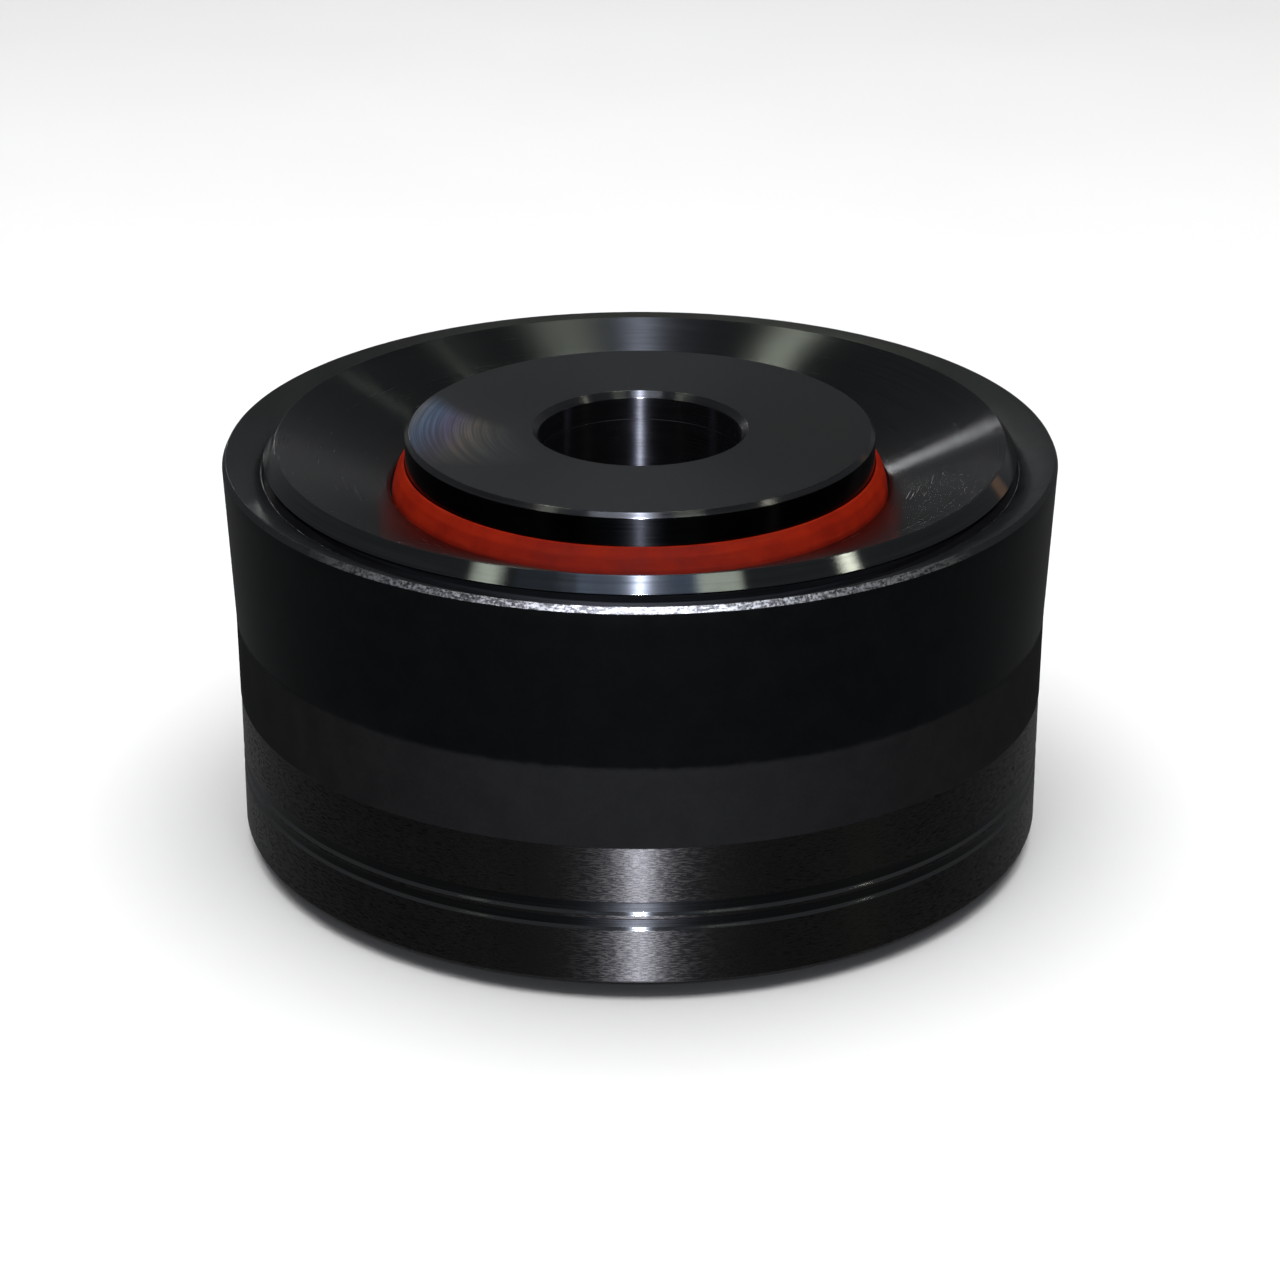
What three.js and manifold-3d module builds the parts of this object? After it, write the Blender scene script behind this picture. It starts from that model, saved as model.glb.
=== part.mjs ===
// Track roller for heavy equipment: a sealed, oil-filled yoke roller that stands on end.
// Its axis is Z. The flat face of the lower collar is at Z = 0. Lengths are in millimetres.
// The shell, end rings, bushings and running seals turn about the hub: the sleeve and its two collars.
import * as THREE from "three";
import { mergeVertices } from "three/addons/utils/BufferGeometryUtils.js";
import Module from "manifold-3d";

const wasm = await Module();
wasm.setup();

// Overall sizes. Heights marked "from the middle" are measured from the roller's middle plane.
const OVERALL_HEIGHT = 209;
const SHELL_HEIGHT = 191;
const HALF_HEIGHT = OVERALL_HEIGHT / 2;
const SHELL_HALF = SHELL_HEIGHT / 2;
const GAP = 0.3; // between pieces that touch or are pressed together
const OVERCUT = 1; // how far a hole's shape starts outside the piece

// Shell, outside. Heights above the shell's own lower edge.
const TREAD_RADIUS = 200; // turned tread band
const STEP_HEIGHT = 70; // small step at the top of the tread band
const MID_BAND_RADIUS = 200.3;
const CONE_START_HEIGHT = 110.5; // mid band below, conical flank above
const CONE_START_RADIUS = 200.7;
const SHOULDER_RADIUS = 204.4; // widest point, under the rim's bevel
const SHOULDER_HEIGHT = 187.8;
const RIM_TOP_RADIUS = 202.8;
const LOWER_CHAMFER = 1;
const TREAD_GROOVE_DEPTH = 1;
const TREAD_GROOVES = [
  { wallBottom: 27.6, floorBottom: 28.9, top: 33.5 },
  { wallBottom: 35.4, floorBottom: 36.7, top: 42 },
];

// Shell, mouth at each end. Heights from the middle.
const MOUTH_RADIUS = 185.6; // inner edge of the dished rim face
const MOUTH_HEIGHT = 87.7;
const MOUTH_FLOOR_HEIGHT = 84;
const MOUTH_WALL_RADIUS = 184.8;
const SEAT_RADIUS = 176; // the end ring is pressed in here
const SEAT_HEIGHT = 62;
const SHELL_BORE_RADIUS = 95 + GAP;

// End ring, pressed into each mouth.
const BAND_TOP_RADIUS = 178.8; // bright band round the proud edge
const BAND_TOP_HEIGHT = 100.5;
const BAND_LOW_RADIUS = 184.6;
const BAND_LOW_HEIGHT = 93.2;
const BAND_LIP_DEPTH = 1.5; // the thin lip under the band
const UNDERCUT_RADIUS = 180.6; // behind that lip
const UNDERCUT_HEIGHT = 86;
const SEAL_MOUTH_RADIUS = 123; // wall round the excluder seal
const SEAL_LIP_RADIUS = 124.6;
const SEAL_LIP_HEIGHT = 77.6;
const SEAL_LIP_DEPTH = 1.1;
const COUNTERFACE_HEIGHT = 72.7; // flat that the excluder's lip runs on

// Hub: sleeve and collars.
const BORE_RADIUS = 50;
const BORE_CHAMFER = 3;
const COLLAR_RADIUS = 115.4;
const COLLAR_CHAMFER = 2.2;
const COLLAR_SKIRT_HEIGHT = 75.7;
const COLLAR_HUB_RADIUS = 84;
const SPIGOT_RADIUS = 70; // the collar is pressed on here
const SPIGOT_END_HEIGHT = 90;
const SPIGOT_SHOULDER_HEIGHT = 76;
const JOURNAL_RADIUS = 80;
const THRUST_FLANGE_RADIUS = 92;
const THRUST_FLANGE_HALF = 10;

// Bearings.
const BUSHING_OUTER_RADIUS = 95;
const BUSHING_INNER_RADIUS = 80.8;
const BUSHING_START_HEIGHT = 15;
const BUSHING_END_HEIGHT = 60;
const OIL_GROOVE_RADIUS = 2.5;
const OIL_GROOVE_END_HEIGHT = 52;
const OIL_GROOVE_ANGLES = [0, 120, 240];
const WASHER_INNER_RADIUS = 82;
const WASHER_OUTER_RADIUS = 94;

// Floating face seal: two metal rings meet at the seal plane.
// A rubber ring in a tapered seat presses each of them there.
const SEAL_PLANE_HEIGHT = 74.2;
const SEAL_FACE_GAP = 0.2; // from the seal plane to each metal ring
const SEAL_SEAT_BACK_RADIUS = 106;
const SEAL_SEAT_FRONT_RADIUS = 108.6;
const SEAL_SEAT_BACK_DEPTH = 11.9; // from the seal plane
const SEAL_RING_OUTLINE = [
  [86.5, SEAL_FACE_GAP],
  [104, SEAL_FACE_GAP],
  [104, 3.7],
  [99.6, 4.2],
  [97, 11.2],
  [86.5, 11.2],
]; // radius, depth behind the seal plane
const TORIC_RADIUS = 102.6;
const TORIC_SECTION = 4;
const TORIC_DEPTH = 7.7;

// Excluder seal: a thick heel grips the collar, and a thin lip flares out to the end ring.
const EXCLUDER_TOP_HEIGHT = 88.5;
const EXCLUDER_TOP_RADIUS = 117;
const EXCLUDER_HEEL_HEIGHT = 79; // underside of the heel, at the collar
const EXCLUDER_ROOT_HEIGHT = 78.4; // where the lip leaves the heel
const EXCLUDER_ROOT_INNER_RADIUS = 118.2;
const EXCLUDER_ROOT_OUTER_RADIUS = 121.4;
const EXCLUDER_BULGE = { radius: 119.6, height: 84.2 };
const EXCLUDER_LIP_INNER_RADIUS = 120.6;
const EXCLUDER_LIP_OUTER_RADIUS = 122.2;

// O-rings and their grooves: radius is to the section's centre, height is from the middle,
// and halfWidth is half the groove's width.
const SEAT_O_RING = { radius: 173.9, section: 2.1, grooveFloor: 169.9, height: 73, halfWidth: 3 };
const SPIGOT_O_RING = { radius: 68.5, section: 1.5, grooveFloor: 66, height: 83, halfWidth: 2.2 };

// Dowel pins between each collar and the sleeve's end, and the oil plug in the sleeve's bore.
const PIN_RADIUS = 3.7;
const PIN_CIRCLE_RADIUS = 60;
const PIN_HALF_LENGTH = 7;
const PIN_HOLE_DEPTH_SPARE = 1;
const PIN_ANGLES = [90, 270];
const OIL_PORT_RADIUS = 3;
const PLUG_RADIUS = 6.7;
const PLUG_START_RADIUS = 51;
const PLUG_END_RADIUS = 61.5;
const PLUG_SOCKET_RADIUS = 3.6;
const PLUG_SOCKET_DEPTH = 5;

const FINE = 48; // facets round the visible rings and the rings that fit in them
const COARSE = 24; // facets round small sealed rings and the oil plug
const HEXAGON = 6;

const paint = { color: 0x14171a, metalness: 0.35, roughness: 0.42 };
const brightSteel = { color: 0x8f9194, metalness: 1, roughness: 0.22 };
const satinSteel = { color: 0x3a3b3e, metalness: 0.95, roughness: 0.38 };
const plainSteel = { color: 0x77797c, metalness: 1, roughness: 0.45 };
const bronze = { color: 0xa9824a, metalness: 1, roughness: 0.4 };
const castIron = { color: 0x55575a, metalness: 0.9, roughness: 0.5 };
const redRubber = { color: 0x96281b, metalness: 0, roughness: 0.6 };
const blackRubber = { color: 0x17181a, metalness: 0, roughness: 0.75 };

const roller = new THREE.Group();
roller.name = "track_roller";

function add(name, geometry, look) {
  const mesh = new THREE.Mesh(geometry, new THREE.MeshStandardMaterial(look));
  mesh.name = name;
  mesh.position.z = HALF_HEIGHT;
  roller.add(mesh);
}

// A ring about Z from a closed outline of [radius, height] points, in either order.
function ring(outline, facets) {
  const points = outline.map(([radius, height]) => new THREE.Vector2(radius, height));
  if (THREE.ShapeUtils.isClockWise(points)) points.reverse();
  points.push(points[0].clone());
  return new THREE.LatheGeometry(points, facets).rotateX(Math.PI / 2);
}

function torus({ radius, section, height }) {
  return new THREE.TorusGeometry(radius, section, 6, COARSE).translate(0, 0, height);
}

// The same outline at the other end of the roller when side is -1.
function atEnd(outline, side) {
  return outline.map(([radius, height]) => [radius, side * height]);
}

function toSolid(geometry) {
  const bare = geometry.clone();
  bare.deleteAttribute("normal");
  bare.deleteAttribute("uv");
  const merged = mergeVertices(bare, 1e-4);
  return new wasm.Manifold(
    new wasm.Mesh({
      numProp: 3,
      vertProperties: merged.attributes.position.array,
      triVerts: new Uint32Array(merged.index.array),
    }),
  );
}

function cut(geometry, tools) {
  const solid = tools.reduce((rest, tool) => rest.subtract(toSolid(tool)), toSolid(geometry));
  const mesh = solid.getMesh();
  const result = new THREE.BufferGeometry();
  result.setAttribute("position", new THREE.BufferAttribute(mesh.vertProperties, 3));
  result.setIndex(new THREE.BufferAttribute(mesh.triVerts, 1));
  result.computeVertexNormals();
  return result;
}

// A cylinder along Z between two heights, at a distance from the axis and an angle in degrees.
function axialRod(rodRadius, distance, angle, [from, to], facets = 12) {
  return new THREE.CylinderGeometry(rodRadius, rodRadius, Math.abs(to - from), facets)
    .rotateX(Math.PI / 2)
    .translate(distance, 0, (from + to) / 2)
    .rotateZ(THREE.MathUtils.degToRad(angle));
}

// A cylinder along X between two distances from the axis, at the middle plane.
function radialRod(rodRadius, from, to, facets = 12) {
  const length = to - from;
  return new THREE.CylinderGeometry(rodRadius, rodRadius, length, facets)
    .rotateZ(Math.PI / 2)
    .translate(from + length / 2, 0, 0);
}

// Mouth of the shell at one end, from its rim face to its bore.
const mouthOutline = [
  [MOUTH_RADIUS, MOUTH_HEIGHT],
  [MOUTH_WALL_RADIUS, MOUTH_FLOOR_HEIGHT],
  [SEAT_RADIUS + GAP, MOUTH_FLOOR_HEIGHT],
  [SEAT_RADIUS + GAP, SEAT_HEIGHT],
  [SHELL_BORE_RADIUS, SEAT_HEIGHT],
];
const treadOutline = TREAD_GROOVES.flatMap(({ wallBottom, floorBottom, top }) => [
  [TREAD_RADIUS, wallBottom],
  [TREAD_RADIUS - TREAD_GROOVE_DEPTH, floorBottom],
  [TREAD_RADIUS - TREAD_GROOVE_DEPTH, top - TREAD_GROOVE_DEPTH / 2],
  [TREAD_RADIUS, top],
]);
const flankOutline = [
  [TREAD_RADIUS - LOWER_CHAMFER, 0],
  [TREAD_RADIUS, LOWER_CHAMFER],
  ...treadOutline,
  [TREAD_RADIUS, STEP_HEIGHT - GAP],
  [MID_BAND_RADIUS, STEP_HEIGHT],
  [CONE_START_RADIUS, CONE_START_HEIGHT],
  [SHOULDER_RADIUS, SHOULDER_HEIGHT],
  [RIM_TOP_RADIUS, SHELL_HEIGHT],
].map(([radius, height]) => [radius, height - SHELL_HALF]);
const shellOutline = [...flankOutline, ...mouthOutline, ...atEnd(mouthOutline, -1).reverse()];
add("roller_shell", ring(shellOutline, FINE), paint);

// Groove round the outside of a ring that holds an O-ring, from low to high.
function oRingGroove(surfaceRadius, { grooveFloor, height, halfWidth }) {
  return [
    [surfaceRadius, height - halfWidth],
    [grooveFloor, height - halfWidth],
    [grooveFloor, height + halfWidth],
    [surfaceRadius, height + halfWidth],
  ];
}

// The end ring fills the mouth. Its back seats a toric ring and its proud edge carries the bright band.
const endRingOutline = [
  [SEAL_SEAT_BACK_RADIUS, SEAT_HEIGHT + GAP],
  [SEAT_RADIUS, SEAT_HEIGHT + GAP],
  ...oRingGroove(SEAT_RADIUS, SEAT_O_RING),
  [SEAT_RADIUS, UNDERCUT_HEIGHT],
  [UNDERCUT_RADIUS, BAND_LOW_HEIGHT - BAND_LIP_DEPTH],
  [BAND_LOW_RADIUS, BAND_LOW_HEIGHT],
  [BAND_TOP_RADIUS, BAND_TOP_HEIGHT],
  [SEAL_LIP_RADIUS, SEAL_LIP_HEIGHT],
  [SEAL_MOUTH_RADIUS, SEAL_LIP_HEIGHT - SEAL_LIP_DEPTH],
  [SEAL_MOUTH_RADIUS, COUNTERFACE_HEIGHT],
  [SEAL_SEAT_FRONT_RADIUS, COUNTERFACE_HEIGHT],
];

const collarOutline = [
  [BORE_RADIUS, SPIGOT_END_HEIGHT + GAP],
  [SPIGOT_RADIUS + GAP, SPIGOT_END_HEIGHT + GAP],
  [SPIGOT_RADIUS + GAP, SPIGOT_SHOULDER_HEIGHT + GAP],
  [COLLAR_HUB_RADIUS, SPIGOT_SHOULDER_HEIGHT + GAP],
  [COLLAR_HUB_RADIUS, SEAL_PLANE_HEIGHT + SEAL_SEAT_BACK_DEPTH],
  [SEAL_SEAT_BACK_RADIUS, SEAL_PLANE_HEIGHT + SEAL_SEAT_BACK_DEPTH],
  [SEAL_SEAT_FRONT_RADIUS, COLLAR_SKIRT_HEIGHT],
  [COLLAR_RADIUS, COLLAR_SKIRT_HEIGHT],
  [COLLAR_RADIUS, HALF_HEIGHT - COLLAR_CHAMFER],
  [COLLAR_RADIUS - COLLAR_CHAMFER, HALF_HEIGHT],
  [BORE_RADIUS + BORE_CHAMFER, HALF_HEIGHT],
  [BORE_RADIUS, HALF_HEIGHT - BORE_CHAMFER],
];

// The excluder grips the collar's side, and its flared lip runs on the end ring.
const excluderOutline = [
  [COLLAR_RADIUS + GAP, EXCLUDER_HEEL_HEIGHT],
  [EXCLUDER_ROOT_INNER_RADIUS, EXCLUDER_ROOT_HEIGHT],
  [EXCLUDER_LIP_INNER_RADIUS, COUNTERFACE_HEIGHT + GAP],
  [EXCLUDER_LIP_OUTER_RADIUS, COUNTERFACE_HEIGHT + GAP],
  [EXCLUDER_ROOT_OUTER_RADIUS, EXCLUDER_ROOT_HEIGHT],
  [EXCLUDER_BULGE.radius, EXCLUDER_BULGE.height],
  [EXCLUDER_TOP_RADIUS, EXCLUDER_TOP_HEIGHT],
  [COLLAR_RADIUS + GAP, EXCLUDER_TOP_HEIGHT],
];

const bushingOutline = [
  [BUSHING_INNER_RADIUS, BUSHING_START_HEIGHT],
  [BUSHING_OUTER_RADIUS, BUSHING_START_HEIGHT],
  [BUSHING_OUTER_RADIUS, BUSHING_END_HEIGHT],
  [BUSHING_INNER_RADIUS, BUSHING_END_HEIGHT],
];
const washerOutline = [
  [WASHER_INNER_RADIUS, THRUST_FLANGE_HALF + GAP],
  [WASHER_OUTER_RADIUS, THRUST_FLANGE_HALF + GAP],
  [WASHER_OUTER_RADIUS, BUSHING_START_HEIGHT - GAP],
  [WASHER_INNER_RADIUS, BUSHING_START_HEIGHT - GAP],
];

// The upper half of the sleeve, from its thrust flange to its end.
const sleeveHalfOutline = [
  [THRUST_FLANGE_RADIUS, THRUST_FLANGE_HALF],
  [JOURNAL_RADIUS, THRUST_FLANGE_HALF],
  [JOURNAL_RADIUS, SPIGOT_SHOULDER_HEIGHT],
  [SPIGOT_RADIUS, SPIGOT_SHOULDER_HEIGHT],
  ...oRingGroove(SPIGOT_RADIUS, SPIGOT_O_RING),
  [SPIGOT_RADIUS, SPIGOT_END_HEIGHT],
  [BORE_RADIUS, SPIGOT_END_HEIGHT],
];

// The length of a dowel pin at one end, and how far its hole goes past it.
function pinReach(side, past = 0) {
  return [-1, 1].map((way) => side * SPIGOT_END_HEIGHT + way * (PIN_HALF_LENGTH + past));
}

function pinHoles(side) {
  return PIN_ANGLES.map((angle) =>
    axialRod(PIN_RADIUS + GAP, PIN_CIRCLE_RADIUS, angle, pinReach(side, PIN_HOLE_DEPTH_SPARE)),
  );
}

const sleeve = ring([...sleeveHalfOutline, ...atEnd(sleeveHalfOutline, -1).reverse()], FINE);
const sleeveCuts = [
  radialRod(OIL_PORT_RADIUS, BORE_RADIUS - OVERCUT, THRUST_FLANGE_RADIUS + OVERCUT),
  radialRod(PLUG_RADIUS + GAP, BORE_RADIUS - OVERCUT, PLUG_END_RADIUS + GAP, COARSE),
  ...pinHoles(1),
  ...pinHoles(-1),
];
add("inner_sleeve", cut(sleeve, sleeveCuts), plainSteel);

const plug = radialRod(PLUG_RADIUS, PLUG_START_RADIUS, PLUG_END_RADIUS, COARSE);
const plugSocket = radialRod(
  PLUG_SOCKET_RADIUS,
  PLUG_START_RADIUS - OVERCUT,
  PLUG_START_RADIUS + PLUG_SOCKET_DEPTH,
  HEXAGON,
);
add("oil_plug", cut(plug, [plugSocket]), plainSteel);

for (const [end, side] of [["upper", 1], ["lower", -1]]) {
  // A seal ring or toric ring reaches towards the roller's end from the seal plane, or back from it.
  const sealRing = (reach) => {
    const outline = SEAL_RING_OUTLINE.map(([radius, depth]) => [radius, SEAL_PLANE_HEIGHT + reach * depth]);
    return ring(atEnd(outline, side), COARSE);
  };
  const toric = (reach) => {
    const height = side * (SEAL_PLANE_HEIGHT + reach * TORIC_DEPTH);
    return torus({ radius: TORIC_RADIUS, section: TORIC_SECTION, height });
  };
  const oRing = (place) => torus({ ...place, height: side * place.height });
  const oilGrooveReach = [side * (BUSHING_START_HEIGHT - OVERCUT), side * OIL_GROOVE_END_HEIGHT];
  const oilGrooves = OIL_GROOVE_ANGLES.map((angle) =>
    axialRod(OIL_GROOVE_RADIUS, BUSHING_INNER_RADIUS, angle, oilGrooveReach, 8),
  );

  // Parts that turn with the shell.
  add(`${end}_end_ring`, ring(atEnd(endRingOutline, side), FINE), brightSteel);
  add(`${end}_end_ring_o_ring`, oRing(SEAT_O_RING), blackRubber);
  add(`${end}_bushing`, cut(ring(atEnd(bushingOutline, side), FINE), oilGrooves), bronze);
  add(`${end}_running_seal_ring`, sealRing(-1), castIron);
  add(`${end}_running_toric_ring`, toric(-1), blackRubber);

  // Parts that stay still with the hub.
  add(`${end}_collar`, cut(ring(atEnd(collarOutline, side), FINE), pinHoles(side)), satinSteel);
  add(`${end}_excluder_seal`, ring(atEnd(excluderOutline, side), FINE), redRubber);
  add(`${end}_fixed_seal_ring`, sealRing(1), castIron);
  add(`${end}_fixed_toric_ring`, toric(1), blackRubber);
  add(`${end}_thrust_washer`, ring(atEnd(washerOutline, side), COARSE), bronze);
  add(`${end}_collar_o_ring`, oRing(SPIGOT_O_RING), blackRubber);
  PIN_ANGLES.forEach((angle, index) => {
    const pin = axialRod(PIN_RADIUS, PIN_CIRCLE_RADIUS, angle, pinReach(side));
    add(`${end}_dowel_pin_${index + 1}`, pin, plainSteel);
  });
}

export default roller;
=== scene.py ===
import math

import bmesh
import bpy
from mathutils import Matrix, Vector, noise


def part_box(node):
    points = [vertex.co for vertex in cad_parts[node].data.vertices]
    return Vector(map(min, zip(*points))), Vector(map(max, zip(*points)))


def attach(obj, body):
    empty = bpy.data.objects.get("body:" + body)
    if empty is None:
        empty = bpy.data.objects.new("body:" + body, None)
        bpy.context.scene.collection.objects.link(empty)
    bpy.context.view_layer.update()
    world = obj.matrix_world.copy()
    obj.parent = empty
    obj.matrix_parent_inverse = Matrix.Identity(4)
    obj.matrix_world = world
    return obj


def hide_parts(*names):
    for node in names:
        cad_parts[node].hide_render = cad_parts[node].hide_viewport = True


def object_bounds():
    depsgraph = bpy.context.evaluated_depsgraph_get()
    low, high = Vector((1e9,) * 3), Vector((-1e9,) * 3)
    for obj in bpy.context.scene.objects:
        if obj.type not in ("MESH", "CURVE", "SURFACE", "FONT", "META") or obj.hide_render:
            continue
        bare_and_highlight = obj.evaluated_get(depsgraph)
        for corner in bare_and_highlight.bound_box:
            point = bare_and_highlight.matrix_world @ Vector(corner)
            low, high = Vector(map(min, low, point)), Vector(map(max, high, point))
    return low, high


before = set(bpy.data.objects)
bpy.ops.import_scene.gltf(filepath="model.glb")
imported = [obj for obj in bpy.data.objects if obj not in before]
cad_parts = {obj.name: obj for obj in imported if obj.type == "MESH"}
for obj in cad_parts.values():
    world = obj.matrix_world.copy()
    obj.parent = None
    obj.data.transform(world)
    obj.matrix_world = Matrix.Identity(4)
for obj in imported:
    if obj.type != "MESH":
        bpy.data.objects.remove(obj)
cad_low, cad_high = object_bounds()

MM = 0.001
FULL_RING = 20  # a CAD vertex ring with at least this many points goes all the way round
ARC_STEP = math.radians(18)  # turn between the points of a rounded corner
SAME_SURFACE = 0.6  # least cosine between a face and a normal that belongs to it
middle = (cad_low.z + cad_high.z) / 2  # height of the roller's middle plane

# ---------------------------------------------------------------- turned outlines, read from the CAD


def neighbours(ring):
    """Each item with the next one, and the last with the first."""
    return zip(ring, ring[1:] + ring[:1])


def read_outline(node):
    """The closed outline of a turned CAD node as [(radius, height), ...], anticlockwise, in metres."""
    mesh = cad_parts[node].data
    rings = [(round(math.hypot(v.co.x, v.co.y), 5), round(v.co.z, 5)) for v in mesh.vertices]
    places = {}
    for vertex, ring in zip(mesh.vertices, rings):
        places.setdefault(ring, set()).add((round(vertex.co.x, 5), round(vertex.co.y, 5)))
    whole = {ring for ring, spots in places.items() if len(spots) >= FULL_RING}
    near = {ring: set() for ring in whole}
    for edge in mesh.edges:
        a, b = (rings[i] for i in edge.vertices)
        if a != b and a in whole and b in whole:
            near[a].add(b)
            near[b].add(a)
    outline = [max(whole)]
    while True:
        onward = sorted(near[outline[-1]] - set(outline))
        if not onward:
            break
        outline.append(onward[0])
    area = sum(a[0] * b[1] - b[0] * a[1] for a, b in neighbours(outline))
    return outline if area > 0 else outline[::-1]


def rounded(outline, edge_break, spacing=lambda r, z: 1.0):
    """The outline with an arc at each corner, as [(radius, height, normal r, normal z), ...].

    edge_break(r, z) is how far from its corner an arc starts. An arc takes less than half of a short side.
    spacing(r, z) is the longest step on a straight stretch.
    """
    corners = [Vector(p) for p in outline]
    points = []
    for before, corner, after in zip(corners[-1:] + corners[:-1], corners, corners[1:] + corners[:1]):
        back, forth = corner - before, after - corner
        reach = min(edge_break(*corner), 0.45 * back.length, 0.45 * forth.length)
        back.normalize()
        forth.normalize()
        turn = math.atan2(back.x * forth.y - back.y * forth.x, back.dot(forth))
        side = 1 if turn > 0 else -1
        radius = reach / max(math.tan(abs(turn) / 2), 1e-6)
        normal = Vector((back.y, -back.x))
        centre = corner - back * reach - normal * radius * side
        steps = max(2, math.ceil(abs(turn) / ARC_STEP))
        for k in range(steps + 1):
            angle = turn * k / steps
            n = Matrix.Rotation(angle, 2) @ normal
            points.append((centre + n * radius * side, n))
    filled = []
    for (p, n), (q, _) in neighbours(points):
        filled.append((p.x, p.y, n.x, n.y))
        halfway = (p + q) / 2
        pieces = math.ceil((q - p).length / spacing(*halfway))
        for k in range(1, pieces):
            at = p.lerp(q, k / pieces)
            filled.append((at.x, at.y, n.x, n.y))
    return filled


def revolve(name, profile, segments, look_at, relief=None):
    """A turned mesh. look_at(r, z, nr, nz) picks the look of each ring of faces.

    relief(position, r, z) is how far the surface is lifted there.
    """
    vertices, normals, rough = [], [], []
    for j in range(segments):
        angle = 2 * math.pi * j / segments
        c, s = math.cos(angle), math.sin(angle)
        for r, z, nr, nz in profile:
            place = Vector((r * c, r * s, z))
            normal = Vector((nr * c, nr * s, nz))
            lift = relief(place, r, z) if relief else 0.0
            rough.append(lift != 0.0)
            vertices.append(place + normal * lift)
            normals.append(normal)
    count = len(profile)
    halfway = [[(a + b) / 2 for a, b in zip(*pair)] for pair in neighbours(profile)]
    picked = [look_at(*place) for place in halfway]
    looks = list(dict.fromkeys(picked))
    faces, numbers = [], []
    for j in range(segments):
        here, there = j * count, (j + 1) % segments * count
        for i in range(count):
            k = (i + 1) % count
            faces.append((here + i, there + i, there + k, here + k))
            numbers.append(looks.index(picked[i]))
    mesh = bpy.data.meshes.new(name)
    mesh.from_pydata(vertices, [], faces)
    for look in looks:
        mesh.materials.append(look.material)
    mesh.polygons.foreach_set("material_index", numbers)
    mesh.polygons.foreach_set("use_smooth", [True] * len(faces))
    mesh.update()
    if any(rough):
        found = [Vector(n.vector) for n in mesh.vertex_normals]
        normals = [f if is_rough else n for f, n, is_rough in zip(found, normals, rough)]
    mesh.normals_split_custom_set_from_vertices(normals)
    piece = bpy.data.objects.new(name, mesh)
    bpy.context.scene.collection.objects.link(piece)
    return piece


def rod(radius, start, end, facets):
    """A prism between two points, as a loose object to cut with."""
    axis = Vector(end) - Vector(start)
    turn = axis.to_track_quat("Z", "Y").to_matrix().to_4x4()
    shape = bmesh.new()
    place = Matrix.Translation((Vector(start) + Vector(end)) / 2) @ turn
    size = {"radius1": radius, "radius2": radius, "depth": axis.length}
    bmesh.ops.create_cone(shape, cap_ends=True, segments=facets, matrix=place, **size)
    mesh = bpy.data.meshes.new("cutter")
    shape.to_mesh(mesh)
    shape.free()
    cutter = bpy.data.objects.new("cutter", mesh)
    bpy.context.scene.collection.objects.link(cutter)
    return cutter


def drill(piece, cutters):
    """Cuts holes in a piece; the surface round them keeps the normals it had."""
    mesh = piece.data
    kept = {}
    for loop, corner in zip(mesh.loops, mesh.corner_normals):
        kept[mesh.vertices[loop.vertex_index].co.to_tuple(6)] = corner.vector.copy()
    for cutter in cutters:
        modifier = piece.modifiers.new("hole", "BOOLEAN")
        modifier.operation = "DIFFERENCE"
        modifier.solver = "EXACT"
        modifier.object = cutter
    bpy.context.view_layer.update()
    evaluated = piece.evaluated_get(bpy.context.evaluated_depsgraph_get())
    cut = bpy.data.meshes.new_from_object(evaluated)
    piece.modifiers.clear()
    piece.data = cut
    cut.name = mesh.name
    bpy.data.meshes.remove(mesh)
    for cutter in cutters:
        hole = cutter.data
        bpy.data.objects.remove(cutter)
        bpy.data.meshes.remove(hole)
    normals = [None] * len(cut.loops)
    for face in cut.polygons:
        for index in face.loop_indices:
            before = kept.get(cut.vertices[cut.loops[index].vertex_index].co.to_tuple(6))
            old_surface = before and before.dot(face.normal) > SAME_SURFACE
            normals[index] = before if old_surface else face.normal.copy()
    cut.normals_split_custom_set(normals)


# ---------------------------------------------------------------- materials


def linear(code):
    """A Blender colour from an sRGB hex code."""
    parts = [int(code[i : i + 2], 16) / 255 for i in (1, 3, 5)]
    return (*[p / 12.92 if p <= 0.04045 else ((p + 0.055) / 1.055) ** 2.4 for p in parts], 1)


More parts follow.
